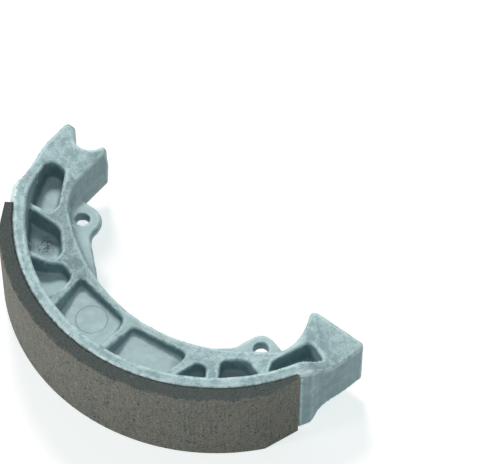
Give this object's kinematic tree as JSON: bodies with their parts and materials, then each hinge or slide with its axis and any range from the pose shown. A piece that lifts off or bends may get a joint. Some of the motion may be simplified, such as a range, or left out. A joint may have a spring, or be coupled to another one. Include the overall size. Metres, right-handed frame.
{
  "type": "brake shoe",
  "caption": "Die-cast aluminium drum brake shoe with ribbed pockets, spring ears and a bonded friction lining",
  "frame": {"origin": "on the drum axis, halfway across the shoe's width", "axes": "+Z along the drum axis, out of the face that shows in the picture; +X from the anchor end to the cam end; +Y from the lining towards the drum axis"},
  "size_m": [0.1009, 0.0553, 0.025],
  "materials": {
    "cast_aluminium": "as die-cast, mottled, with rough pocket floors",
    "lining": "moulded friction compound, ground on the outer face"
  },
  "bodies": {
    "root": {"shoe_casting": "cast_aluminium", "friction_lining": "lining"}
  },
  "joints": []
}
